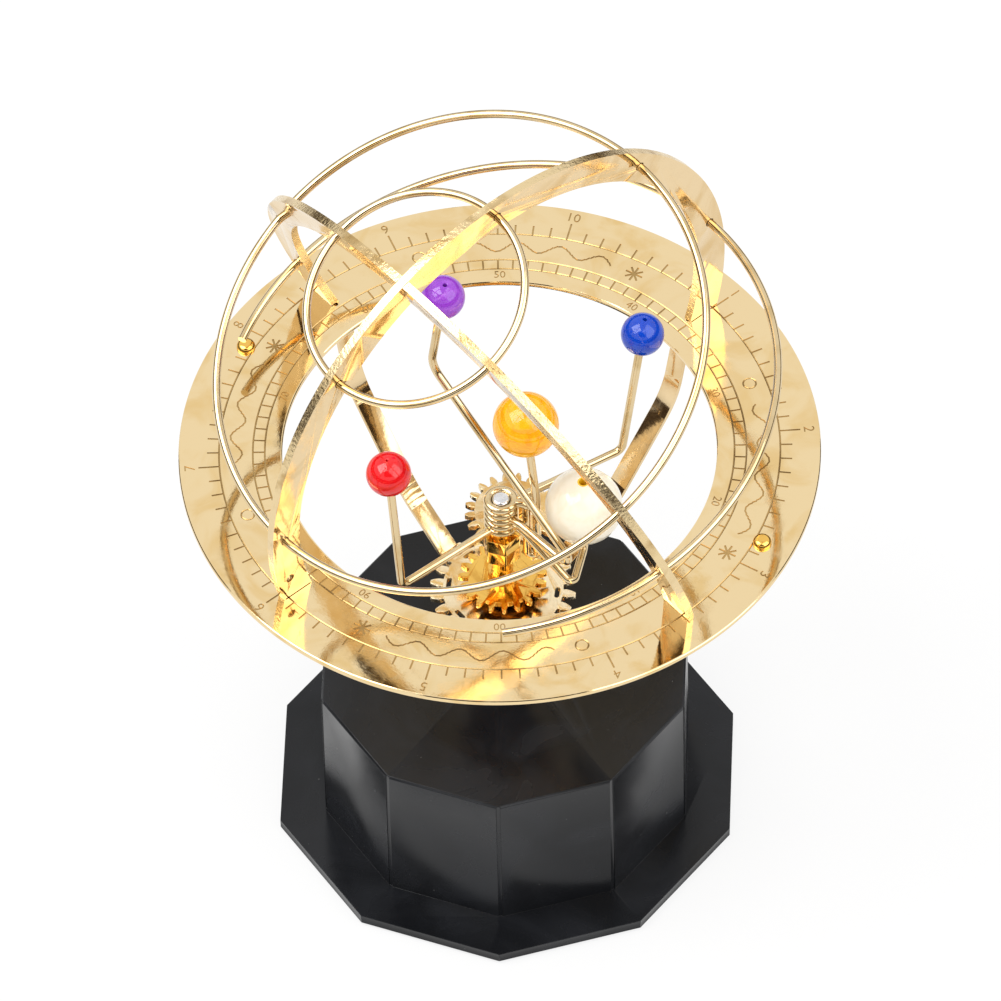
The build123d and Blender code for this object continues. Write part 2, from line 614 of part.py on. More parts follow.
with BuildPart() as hub_washer:
    with BuildSketch(Plane.XY.offset(HUB_NUTS_TOP)):
        Circle(WASHER_DIAMETER / 2)
        Circle(PIN_DIAMETER / 2, mode=Mode.SUBTRACT)
    extrude(amount=WASHER_HEIGHT)
save(hub_washer.part, "hub_washer")

# Large gear on the sleeve

with BuildPart() as large_gear:
    with BuildSketch(Plane.XY.offset(WHEEL_Z)):
        Circle(WHEEL_MODULE * (WHEEL_TEETH / 2 - 1.25))
        with PolarLocations(0, WHEEL_TEETH, start_angle=LAYSHAFT_TURN):
            add(tooth_outline(WHEEL_MODULE, WHEEL_TEETH))
        with PolarLocations(WINDOW_CIRCLE, WINDOW_COUNT, start_angle=LAYSHAFT_TURN):
            SlotOverall(WINDOW_LENGTH, WINDOW_WIDTH, rotation=90, mode=Mode.SUBTRACT)
        Circle(SLEEVE_DIAMETER / 2 + RUNNING_FIT, mode=Mode.SUBTRACT)
    extrude(amount=WHEEL_THICKNESS)
save(large_gear.part, "large_gear")

with BuildPart() as wheel_spacer:
    with BuildSketch(Plane.XY.offset(WHEEL_SPACER_Z)):
        Circle(WHEEL_SPACER_DIAMETER / 2)
        Circle(SLEEVE_DIAMETER / 2, mode=Mode.SUBTRACT)
    extrude(amount=WHEEL_Z - AXIAL_GAP - WHEEL_SPACER_Z)
save(wheel_spacer.part, "wheel_spacer")

with BuildPart() as wheel_collar:
    with BuildSketch(Plane.XY.offset(WHEEL_COLLAR_Z)):
        Circle(WHEEL_COLLAR_DIAMETER / 2)
        Circle(SLEEVE_DIAMETER / 2, mode=Mode.SUBTRACT)
    extrude(amount=WHEEL_COLLAR_HEIGHT)
save(wheel_collar.part, "wheel_collar")

# Layshaft

layshaft_centre = around(LAYSHAFT_TURN, CENTRE_DISTANCE, 0)[:2]

with BuildPart() as layshaft_post:
    with BuildSketch(Plane.XY.offset(BASE_CEILING)):
        with Locations(layshaft_centre):
            Circle(POST_DIAMETER / 2)
    extrude(amount=POST_NUT_Z + POST_NUT_HEIGHT + 0.6 - BASE_CEILING)
save(layshaft_post.part, "layshaft_post")

with BuildPart() as layshaft_pillar:
    with BuildSketch(Plane.XY.offset(BASE_TOP)):
        with Locations(layshaft_centre):
            Circle(PILLAR_DIAMETER / 2)
            Circle(POST_DIAMETER / 2, mode=Mode.SUBTRACT)
    extrude(amount=PILLAR_TOP - BASE_TOP)
save(layshaft_pillar.part, "layshaft_pillar")

with BuildPart() as layshaft_pinion:
    with BuildSketch(Plane.XY.offset(WHEEL_Z)):
        with Locations(layshaft_centre):
            Circle(WHEEL_MODULE * (PINION_TEETH / 2 - 1.25))
            with PolarLocations(0, PINION_TEETH, start_angle=LAYSHAFT_TURN + 180 / PINION_TEETH):
                add(tooth_outline(WHEEL_MODULE, PINION_TEETH))
    extrude(amount=PINION_FACE)
    with BuildSketch(Plane.XY.offset(WHEEL_Z + PINION_FACE)):
        with Locations(layshaft_centre):
            Circle(PINION_HUB_DIAMETER / 2)
    extrude(amount=PINION_TOP - WHEEL_Z - PINION_FACE)
    with BuildSketch(Plane.XY.offset(WHEEL_Z)):
        with Locations(layshaft_centre):
            Circle(POST_DIAMETER / 2 + RUNNING_FIT)
    extrude(amount=PINION_TOP - WHEEL_Z, mode=Mode.SUBTRACT)
save(layshaft_pinion.part, "layshaft_pinion")

with BuildPart() as layshaft_gear:
    with BuildSketch(Plane.XY.offset(DRIVER_Z)):
        with Locations(layshaft_centre):
            Circle(DRIVER_MODULE * (LAYSHAFT_TEETH / 2 - 1.25))
            with PolarLocations(0, LAYSHAFT_TEETH, start_angle=LAYSHAFT_TURN):
                add(tooth_outline(DRIVER_MODULE, LAYSHAFT_TEETH))
            Circle(PINION_HUB_DIAMETER / 2, mode=Mode.SUBTRACT)
    extrude(amount=DRIVER_THICKNESS)
save(layshaft_gear.part, "layshaft_gear")

save(
    hex_nut(POST_NUT_FLATS, POST_NUT_HEIGHT, POST_DIAMETER, POST_NUT_Z, layshaft_centre),
    "layshaft_nut",
)

# Horizon ring and its screws

with BuildPart() as horizon_ring:
    with BuildSketch(Plane.XY.offset(RING_BOTTOM)):
        Circle(RING_RADIUS)
        Circle(RING_BORE, mode=Mode.SUBTRACT)
        with PolarLocations(FOOT_RADIUS, 4):
            Rectangle(SLOT_LENGTH, SLOT_WIDTH, mode=Mode.SUBTRACT)
        with PolarLocations(FOOT_RADIUS - SLOT_LENGTH / 2, 4):
            Circle(RELIEF_DIAMETER / 2, mode=Mode.SUBTRACT)
        for turn in RING_SCREW_TURNS:
            with Locations(around(turn, RING_SCREW_CIRCLE, 0)[:2]):
                Circle(RING_SCREW_DIAMETER / 2, mode=Mode.SUBTRACT)
    extrude(amount=RING_THICKNESS)
save(horizon_ring.part, "horizon_ring")

with BuildPart() as ring_screws:
    for turn in RING_SCREW_TURNS:
        shank_length = RING_SCREW_SPARE + RING_NUT_HEIGHT + RING_THICKNESS
        with BuildSketch(Plane.XY.offset(RING_TOP)):
            with Locations(around(turn, RING_SCREW_CIRCLE, 0)[:2]):
                Circle(RING_SCREW_HEAD / 2)
        extrude(amount=RING_SCREW_HEAD_HEIGHT)
        with BuildSketch(Plane.XY.offset(RING_TOP)):
            with Locations(around(turn, RING_SCREW_CIRCLE, 0)[:2]):
                Circle(RING_SCREW_DIAMETER / 2)
        extrude(amount=-shank_length)
    fillet(ring_screws.edges().group_by(Axis.Z)[-1], RING_SCREW_HEAD_HEIGHT * 0.8)
save(ring_screws.part, "ring_screws")

with BuildPart() as ring_screw_nuts:
    for turn in RING_SCREW_TURNS:
        nut_centre = around(turn, RING_SCREW_CIRCLE, 0)[:2]
        nut_z = RING_BOTTOM - RING_NUT_HEIGHT
        add(hex_nut(RING_NUT_FLATS, RING_NUT_HEIGHT, RING_SCREW_DIAMETER, nut_z, nut_centre))
save(ring_screw_nuts.part, "ring_screw_nuts")

# Arches and wire circles

pole_planes = {
    "small": (tilted_plane(SMALL_RING_LIFT, POLE_TILT), SMALL_RING_RADIUS),
    "medium": (tilted_plane(MEDIUM_RING_LIFT, POLE_TILT), MEDIUM_RING_RADIUS),
    "large": (tilted_plane(0, LARGE_RING_TILT, LARGE_RING_TURN), LARGE_RING_RADIUS),
}


lap_radius = ARCH_A_LIFT + ARCH_MIDDLE
lap_x = -lap_radius * sin(radians(ARCH_A_LEAN))
lap_z = RING_TOP + lap_radius * cos(radians(ARCH_A_LEAN))

with BuildPart() as arch_b:
    with BuildSketch(vertical_plane(0)):
        with Locations((0, CENTRE_Z)):
            Circle(ARCH_OUTER)
            Circle(ARCH_INNER, mode=Mode.SUBTRACT)
        with Locations((0, RING_TOP)):
            Rectangle(
                2 * RING_RADIUS, RING_RADIUS, align=(Align.CENTER, Align.MAX), mode=Mode.SUBTRACT
            )
        with Locations((-FOOT_RADIUS, RING_TOP), (FOOT_RADIUS, RING_TOP)):
            Rectangle(TAB_LENGTH, TAB_DROP, align=(Align.CENTER, Align.MAX))
        with Locations(Location((lap_x, lap_z), ARCH_A_LEAN)):
            Rectangle(
                SLOT_WIDTH, ARCH_WIDTH, align=(Align.CENTER, Align.MAX), mode=Mode.SUBTRACT
            )
    extrude(amount=ARCH_THICKNESS / 2, both=True)
    for plane, radius in pole_planes.values():
        with Locations(plane.location):
            Torus(radius, WIRE_DIAMETER / 2 + LOOSE_FIT, mode=Mode.SUBTRACT)
save(arch_b.part, "arch_b")

lean_up = (-sin(radians(ARCH_A_LEAN)), 0, cos(radians(ARCH_A_LEAN)))
arch_a_plane = Plane(
    origin=(0, 0, RING_TOP), x_dir=(0, 1, 0), z_dir=(cos(radians(ARCH_A_LEAN)), 0, -lean_up[0])
)

with BuildPart() as arch_a:
    with BuildSketch(arch_a_plane):
        with Locations((0, ARCH_A_LIFT)):
            Circle(ARCH_OUTER)
            Circle(ARCH_INNER, mode=Mode.SUBTRACT)
        with Locations((0, lap_radius)):
            Rectangle(
                SLOT_WIDTH, ARCH_WIDTH, align=(Align.CENTER, Align.MIN), mode=Mode.SUBTRACT
            )
    extrude(amount=ARCH_THICKNESS / 2, both=True)
    with Locations((0, 0, RING_TOP)):
        Box(
            3 * RING_RADIUS, 3 * RING_RADIUS, RING_TOP,
            align=(Align.CENTER, Align.CENTER, Align.MAX), mode=Mode.SUBTRACT,
        )
    with BuildSketch(Plane.XY.offset(RING_TOP)):
        with Locations((0, -FOOT_RADIUS), (0, FOOT_RADIUS)):
            Rectangle(ARCH_THICKNESS, TAB_LENGTH)
    extrude(amount=-TAB_DROP)
    for plane, radius in pole_planes.values():
        with Locations(plane.location):
            Torus(radius, WIRE_DIAMETER / 2 + LOOSE_FIT, mode=Mode.SUBTRACT)
save(arch_a.part, "arch_a")

for size in ("small", "medium"):
    ring_plane, ring_radius = pole_planes[size]
    with BuildPart() as wire_ring:
        with Locations(ring_plane.location):
            Torus(ring_radius, WIRE_DIAMETER / 2)
    save(wire_ring.part, f"wire_ring_{size}")

with BuildPart() as wire_ring_large:
    with BuildLine(pole_planes["large"][0]) as open_ring:
        CenterArc((0, 0), LARGE_RING_RADIUS, LARGE_RING_START, LARGE_RING_SWEEP)
    open_wire = open_ring.edges()[0]
    with BuildSketch(Plane(origin=open_wire @ 0, z_dir=open_wire % 0)):
        Circle(WIRE_DIAMETER / 2)
    sweep()
    fillet(wire_ring_large.edges().filter_by(GeomType.CIRCLE), WIRE_DIAMETER * 0.4)
save(wire_ring_large.part, "wire_ring_large")

# Planet arms and beads


def eye_z(level):
    """The height of a wire eye's middle."""
    return EYES_Z + WIRE_DIAMETER / 2 + level * EYE_PITCH


def wire_arm(level, points, radii, turn):
    """A wire eye round the pin at its level, and the bent wire that leaves it."""
    plane = vertical_plane(turn) if turn is not None else Plane.XY
    with BuildPart() as arm:
        with BuildLine(plane) as path:
            FilletPolyline(*points, radius=radii)
        start = path.wires()[0]
        with BuildSketch(Plane(origin=start @ 0, z_dir=start % 0)):
            Circle(WIRE_DIAMETER / 2)
        sweep()
        with Locations((0, 0, eye_z(level))):
            Torus(EYE_RADIUS, WIRE_DIAMETER / 2)
    return arm.part


def bead(centre, radius, direction, bore=WIRE_DIAMETER / 2 + BEAD_HOLE_FIT):
    """A ball with a hole right through, along the wire that carries it."""
    with BuildPart() as ball:
        with Locations(Plane(origin=centre, z_dir=direction).location):
            Sphere(radius)
            Cylinder(bore, 2 * radius, mode=Mode.SUBTRACT)
    return ball.part


def stem(turn, low, high, radius):
    """The upper end of a straight stem inside its ball, its direction and the ball's centre."""
    length = sqrt((high[0] - low[0]) ** 2 + (high[1] - low[1]) ** 2)
    along = ((high[0] - low[0]) / length, (high[1] - low[1]) / length)
    depth = radius * 0.6
    end = (high[0] + along[0] * depth, high[1] + along[1] * depth)
    return end, Vector(*around(turn, along[0], along[1])), around(turn, high[0], high[1])


def simple_arm(name, level, turn, corners, radii, bead_place, bead_radius):
    """Make one arm that lies in a plane through the spindle, and its ball."""
    end, direction, centre = stem(turn, corners[-1], bead_place, bead_radius)
    points = [(EYE_RADIUS, eye_z(level))] + list(corners) + [end]
    save(wire_arm(level, points, radii, turn), f"arm_{name}")
    save(bead(centre, bead_radius, direction), f"bead_{name}")


red_corner = (RED_BEND, eye_z(0))
simple_arm("red", 0, RED_TURN, [red_corner], BEND_RADIUS, RED_BEAD, RED_BEAD_RADIUS)

purple_corners = [(ARM_FLAT, eye_z(2)), PURPLE_HAIRPIN, PURPLE_BEND]
purple_radii = [BEND_RADIUS, HAIRPIN_RADIUS, 3 * BEND_RADIUS]
simple_arm("purple", 2, PURPLE_TURN, purple_corners, purple_radii, PURPLE_BEAD, PURPLE_BEAD_RADIUS)

blue_corner = (BLUE_BEND, eye_z(3))
simple_arm("blue", 3, BLUE_TURN, [blue_corner], BEND_RADIUS, BLUE_BEAD, BLUE_BEAD_RADIUS)

sun_corners = [
    (SUN_DROP, eye_z(4)),
    (SUN_DROP, SUN_HAIRPIN_Z),
    (SUN_RISE, SUN_HAIRPIN_Z),
    (SUN_RISE, SUN_LEAN_Z),
]
sun_radii = [1.2, 1.1, 1.1, 4 * BEND_RADIUS]
simple_arm("sun", 4, SUN_TURN, sun_corners, sun_radii, SUN_BEAD, SUN_BEAD_RADIUS)

white_centre = around(WHITE_BEAD_TURN, *WHITE_BEAD)
white_points = [
    around(WHITE_LEG_TURN, EYE_RADIUS, eye_z(1)),
    around(WHITE_LEG_TURN, ARM_FLAT, eye_z(1)),
    around(WHITE_LEG_TURN, *WHITE_HAIRPIN),
    around(WHITE_BEAD_TURN, WHITE_BEAD[0], WHITE_HAIRPIN[1]),
    around(WHITE_BEAD_TURN, WHITE_BEAD[0], WHITE_BEAD[1] + WHITE_BEAD_RADIUS * 0.4),
]
save(wire_arm(1, white_points, [BEND_RADIUS, HAIRPIN_RADIUS, BEND_RADIUS], None), "arm_white")
save(bead(white_centre, WHITE_BEAD_RADIUS, (0, 0, 1), WHITE_LINING_DIAMETER / 2), "bead_white")

with BuildPart() as bead_white_lining:
    lining_length = 2 * sqrt(WHITE_BEAD_RADIUS**2 - (WHITE_LINING_DIAMETER / 2) ** 2)
    with Locations(white_centre):
        Cylinder(WHITE_LINING_DIAMETER / 2, lining_length)
        Cylinder(WIRE_DIAMETER / 2 + BEAD_HOLE_FIT, lining_length, mode=Mode.SUBTRACT)
save(bead_white_lining.part, "bead_white_lining")
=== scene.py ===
"""The looks of a table orrery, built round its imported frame. Sizes are in millimetres."""
import json
import logging
import math
from collections.abc import Callable, Sequence
from dataclasses import dataclass
from functools import cached_property

import bpy
from mathutils import Matrix, Vector

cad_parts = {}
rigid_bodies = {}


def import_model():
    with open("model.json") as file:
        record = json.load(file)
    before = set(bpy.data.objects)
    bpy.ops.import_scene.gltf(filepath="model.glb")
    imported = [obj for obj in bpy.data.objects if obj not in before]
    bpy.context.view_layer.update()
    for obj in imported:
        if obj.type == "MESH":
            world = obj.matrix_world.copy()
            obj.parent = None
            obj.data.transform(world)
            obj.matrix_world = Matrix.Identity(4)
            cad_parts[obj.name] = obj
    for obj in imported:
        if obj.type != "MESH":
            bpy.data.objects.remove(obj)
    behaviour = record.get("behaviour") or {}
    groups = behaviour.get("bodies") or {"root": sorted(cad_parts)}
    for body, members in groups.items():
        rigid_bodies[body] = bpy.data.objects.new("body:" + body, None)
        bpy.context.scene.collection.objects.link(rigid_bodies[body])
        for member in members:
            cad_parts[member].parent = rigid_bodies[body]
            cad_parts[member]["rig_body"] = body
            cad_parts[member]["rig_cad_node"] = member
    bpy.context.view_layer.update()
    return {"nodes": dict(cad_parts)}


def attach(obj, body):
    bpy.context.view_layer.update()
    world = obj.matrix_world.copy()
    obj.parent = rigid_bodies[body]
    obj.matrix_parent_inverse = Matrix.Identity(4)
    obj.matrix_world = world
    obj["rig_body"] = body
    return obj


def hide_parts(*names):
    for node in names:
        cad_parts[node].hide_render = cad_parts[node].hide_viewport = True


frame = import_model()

MM = 0.001
Colour = tuple[float, float, float]
log = logging.getLogger("orrery")


class Signal:
    """A shader value that takes part in sums as a number does."""

    def __init__(self, recipe: "Recipe", socket: bpy.types.NodeSocket) -> None:
        """Wrap one output socket."""
        self.recipe = recipe
        self.socket = socket

    def maths(self, operation: str, first: object, second: object) -> "Signal":
        """Add one Math node and return its result."""
        made = self.recipe.node("ShaderNodeMath", {"operation": operation}, {0: first, 1: second})
        return Signal(self.recipe, made.outputs[0])

    def __add__(self, other: object) -> "Signal":
        """Sum."""
        return self.maths("ADD", self, other)

    def __mul__(self, other: object) -> "Signal":
        """Product."""
        return self.maths("MULTIPLY", self, other)

    __radd__ = __add__
    __rmul__ = __mul__


class Recipe:
    """The node tree of a finish or of the world."""

    def __init__(self, owner: bpy.types.Material | bpy.types.World) -> None:
        """Start an empty tree on its owner."""
        self.owner = owner
        owner.use_nodes = True
        self.tree = owner.node_tree
        self.tree.nodes.clear()

    @classmethod
    def named(cls, name: str) -> "Recipe":
        """Start the tree of a new material."""
        return cls(bpy.data.materials.new(name))

    @cached_property
    def place(self) -> Signal:
        """The shaded point in the piece's own coordinates."""
        return Signal(self, self.node("ShaderNodeTexCoord").outputs["Object"])

    def node(
        self, kind: str, settings: dict | None = None, sockets: dict | None = None
    ) -> bpy.types.Node:
        """Add a node, set it up, and give its sockets values or links.

        Args:
            kind: The node's type.
            settings: Its properties.
            sockets: Values, Signals or sockets by input name or number.

        Returns:
            The new node.
        """
        made = self.tree.nodes.new(kind)
        for name, value in (settings or {}).items():
            setattr(made, name, value)
        for key, value in (sockets or {}).items():
            if isinstance(value, Signal):
                self.tree.links.new(value.socket, made.inputs[key])
            else:
                made.inputs[key].default_value = value
        return made

    def noise(self, size: float, detail: float = 3.0, warp: float = 0.0) -> Signal:
        """Soft noise with patches of a size in millimetres."""
        scale = 1 / (size * MM)
        sockets = {"Vector": self.place, "Scale": scale, "Detail": detail, "Distortion": warp}
        return Signal(self, self.node("ShaderNodeTexNoise", None, sockets).outputs["Fac"])

    def spread(self, value: Signal, low: float, high: float) -> Signal:
        """Stretch the part of a value between two limits over 0 to 1, smoothly."""
        settings = {"interpolation_type": "SMOOTHSTEP"}
        sockets = {"Value": value, "From Min": low, "From Max": high}
        return Signal(self, self.node("ShaderNodeMapRange", settings, sockets).outputs["Result"])

    def mix(self, share: Signal, first: object, second: object) -> Signal:
        """Blend two colours."""
        first, second = [c if isinstance(c, Signal) else (*c, 1.0) for c in (first, second)]
        made = self.node("ShaderNodeMix", {"data_type": "RGBA"}, {0: share, 6: first, 7: second})
        return Signal(self, made.outputs[2])

    def bump(self, height: Signal, depth: float, under: Signal | None = None) -> Signal:
        """Turn a height from 0 to 1 into a normal, with its depth in millimetres."""
        sockets = {"Height": height, "Distance": depth * MM}
        if under:
            sockets["Normal"] = under
        return Signal(self, self.node("ShaderNodeBump", None, sockets).outputs["Normal"])

    def seen(self) -> Signal:
        """One for camera, glossy and transmission rays, and nought for the rest."""
        path = self.node("ShaderNodeLightPath")
        total = Signal(self, path.outputs["Is Camera Ray"])
        for name in ("Is Glossy Ray", "Is Transmission Ray"):
            total = total.maths("MAXIMUM", total, Signal(self, path.outputs[name]))
        return total

    def shader(self, kind: str, **sockets: object) -> Signal:
        """Add a shader node, with the spaces in its sockets' names written as underscores."""
        named = {name.replace("_", " "): value for name, value in sockets.items()}
        return Signal(self, self.node(kind, None, named).outputs[0])

    def blend(self, share: Signal, first: Signal, second: Signal) -> Signal:
        """Mix two shaders."""
        made = self.node("ShaderNodeMixShader", None, {0: share, 1: first, 2: second})
        return Signal(self, made.outputs[0])

    def close(
        self, shader: Signal, output: str = "ShaderNodeOutputMaterial"
    ) -> bpy.types.Material | bpy.types.World:
        """Lead a shader to the tree's output and return the owner."""
        self.node(output, None, {"Surface": shader})
        return self.owner

    def finish(self, **sockets: object) -> bpy.types.Material:
        """Close the recipe with a principled surface and return its material."""
        return self.close(self.shader("ShaderNodeBsdfPrincipled", **sockets))


@dataclass(frozen=True)
class PlatedMetal:
    """Plated or bare metal with a slight waviness, smears and a fine grain.

    Its colour goes between light and deep in patches, and its roughness between gloss and
    gloss + smear. Wave and grain are depths of bump, in millimetres.
    """

    name: str
    light: Colour
    deep: Colour
    gloss: float = 0.08
    smear: float = 0.14
    wave: float = 0.05
    grain: float = 0.004
    grain_size: float = 0.6

    def build(self) -> bpy.types.Material:
        """Make the material."""
        recipe = Recipe.named(self.name)
        stain = recipe.spread(recipe.noise(16.0, detail=5.0, warp=1.5), low=0.44, high=0.7)
        touch = recipe.spread(recipe.noise(5.0, detail=6.0, warp=0.5), low=0.45, high=0.75)
        rolled = recipe.bump(recipe.noise(22.0, detail=1.0), self.wave)
        normal = recipe.bump(recipe.noise(self.grain_size, detail=4.0), self.grain, rolled)
        colour = recipe.mix(stain, self.light, self.deep)
        roughness = touch * self.smear + self.gloss
        return recipe.finish(Base_Color=colour, Metallic=1.0, Roughness=roughness, Normal=normal)


@dataclass(frozen=True)
class MouldedPlastic:
    """Moulded plastic with a fine grain, a cloudy polish and a little dust.

    Gloss is its least roughness, dust the strength of the specks and shine its specular level.
    """

    name: str
    colour: Colour
    worn: Colour
    gloss: float = 0.2
    dust: float = 0.35
    dust_colour: Colour = (0.6, 0.6, 0.58)
    shine: float = 0.28
    grain: float = 0.006
    grain_size: float = 0.35

    def build(self) -> bpy.types.Material:
        """Make the material."""
        recipe = Recipe.named(self.name)
        cloud = recipe.spread(recipe.noise(20.0, detail=5.0, warp=1.0), low=0.35, high=0.75)
        speck = recipe.spread(recipe.noise(0.9, detail=2.0), low=0.77, high=0.83)
        haze = recipe.mix(cloud, self.colour, self.worn)
        dusty = recipe.mix(speck * self.dust, haze, self.dust_colour)
        normal = recipe.bump(recipe.noise(self.grain_size), self.grain)
        roughness = cloud * 0.1 + speck * 0.3 + self.gloss
        sockets = {"Base_Color": dusty, "Roughness": roughness, "Normal": normal}
        return recipe.finish(Specular_IOR_Level=self.shine, **sockets)


@dataclass(frozen=True)
class PolishedResin:
    """Tumbled glossy resin of a bead, with a marbled swirl of a second tone.

    Strength is how far the swirl's tone shows.
    """

    name: str
    colour: Colour
    swirl: Colour
    strength: float = 0.6
    gloss: float = 0.06
    coat: float = 0.1
    wave: float = 0.02

    def build(self) -> bpy.types.Material:
        """Make the material."""
        recipe = Recipe.named(self.name)
        marble = recipe.spread(recipe.noise(5.5, detail=4.0, warp=2.5), low=0.46, high=0.68)
        fine = recipe.spread(recipe.noise(1.2, detail=5.0, warp=1.0), low=0.4, high=0.8)
        colour = recipe.mix(marble * self.strength + fine * 0.12, self.colour, self.swirl)
        normal = recipe.bump(recipe.noise(4.0, detail=2.0), self.wave)
        roughness = fine * 0.08 + self.gloss
        sockets = {"Base_Color": colour, "Roughness": roughness, "Normal": normal}
        return recipe.finish(Coat_Weight=self.coat, **sockets)


SHEET = PlatedMetal(
    "polished_sheet", (0.86, 0.67, 0.38), (0.80, 0.57, 0.26), gloss=0.05, smear=0.1
)
ARCH = PlatedMetal(
    "arch_sheet", (0.82, 0.63, 0.37), (0.72, 0.51, 0.25), wave=0.06, grain=0.01, grain_size=1.0
)
SHEARED = PlatedMetal(
    "sheared_edge", (0.82, 0.64, 0.36), (0.5, 0.33, 0.13),
    gloss=0.18, smear=0.2, grain=0.12, grain_size=0.8,
)
# Darker amber for the walls of the ring's engraved grooves and holes: painted shade in the
# recesses.
GROOVE_SHADE = PlatedMetal("painted_groove_shade", (0.5, 0.33, 0.13), (0.28, 0.17, 0.06), gloss=0.25, smear=0.2)
WIRE = PlatedMetal(
    "gold_wire", (0.74, 0.58, 0.34), (0.62, 0.45, 0.22), gloss=0.07, smear=0.1, wave=0.02
)
BRASS = PlatedMetal("deep_brass", (0.88, 0.53, 0.12), (0.6, 0.3, 0.05), gloss=0.07, smear=0.12)
PALE = PlatedMetal(
    "pale_gear", (0.93, 0.78, 0.52), (0.75, 0.52, 0.24),
    gloss=0.12, smear=0.2, wave=0.04, grain=0.01,
)
STEEL = PlatedMetal(
    "bright_steel", (0.78, 0.78, 0.79), (0.5, 0.5, 0.51),
    gloss=0.16, smear=0.2, wave=0.02, grain=0.03, grain_size=0.5,
)
BLACK = MouldedPlastic("black_plastic", (0.007, 0.0075, 0.009), (0.014, 0.015, 0.018))
WHITE = MouldedPlastic(
    "white_plastic", (0.8, 0.79, 0.75), (0.68, 0.67, 0.62), gloss=0.35, dust=0.0
)
RUBBER = MouldedPlastic("rubber", (0.03, 0.03, 0.03), (0.06, 0.06, 0.06), gloss=0.6, dust=0.1)
SLEEVE = MouldedPlastic(
    "cell_sleeve", (0.07, 0.09, 0.12), (0.1, 0.12, 0.15), gloss=0.25, dust=0.0
)
RESINS = {
    "red": PolishedResin("red_resin", (0.78, 0.008, 0.012), (0.5, 0.0, 0.004), strength=0.4),
    "purple": PolishedResin("purple_resin", (0.28, 0.045, 0.55), (0.42, 0.12, 0.7), strength=0.5),
    "blue": PolishedResin("blue_resin", (0.004, 0.055, 0.5), (0.002, 0.02, 0.3), strength=0.4),
    "white": PolishedResin("white_resin", (0.97, 0.90, 0.74), (0.9, 0.78, 0.54), strength=0.25),
    "sun": PolishedResin("sun_resin", (0.98, 0.46, 0.012), (0.92, 0.3, 0.004), strength=0.7),
    "lining": PolishedResin("lining_resin", (0.95, 0.6, 0.02), (0.8, 0.42, 0.01), strength=0.5),
}


